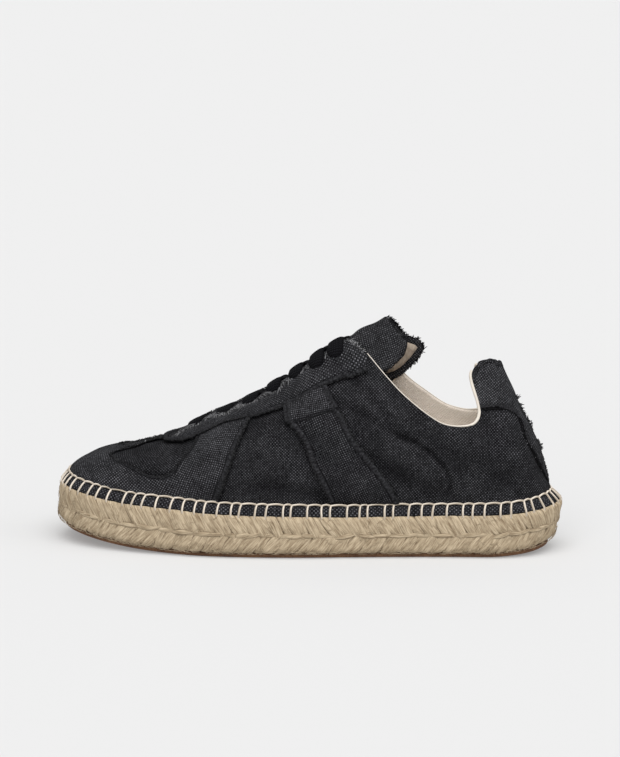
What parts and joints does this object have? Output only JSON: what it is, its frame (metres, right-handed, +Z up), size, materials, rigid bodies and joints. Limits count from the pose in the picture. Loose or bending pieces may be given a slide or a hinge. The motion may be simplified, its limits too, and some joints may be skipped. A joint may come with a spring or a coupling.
{
  "type": "sneaker",
  "caption": "Low canvas espadrille sneaker for the left foot: frayed charcoal panels, T-shaped toe piece, flat laces, braided jute sole and thin rubber outsole.",
  "frame": {"origin": "middle of the shoe's bounding box, on the floor", "axes": "+X from toe to heel, +Y towards the inner (big toe) side, +Z up"},
  "size_m": [0.2888, 0.1017, 0.1332],
  "materials": {
    "charcoal_canvas": "washed plain weave",
    "charcoal_canvas_panel": "washed plain weave, frayed edges",
    "jute": "braided rope",
    "brown_rubber": "matt",
    "cream_cotton": "plain cotton",
    "black_cotton_lace": "flat woven lace"
  },
  "bodies": {
    "root": {"outsole": "brown_rubber", "jute_midsole": "jute", "insole": "cream_cotton", "upper": "charcoal_canvas", "toe_overlay": "charcoal_canvas_panel", "eyestay": "charcoal_canvas_panel", "side_stripe_outer": "charcoal_canvas_panel", "side_stripe_inner": "charcoal_canvas_panel", "heel_patch": "charcoal_canvas_panel", "tongue": "charcoal_canvas", "lace_bar_1": "black_cotton_lace", "lace_bar_2": "black_cotton_lace", "lace_bar_3": "black_cotton_lace", "lace_bar_4": "black_cotton_lace", "lace_bar_5": "black_cotton_lace", "lace_bar_6": "black_cotton_lace", "lace_bar_7": "black_cotton_lace"}
  },
  "joints": []
}
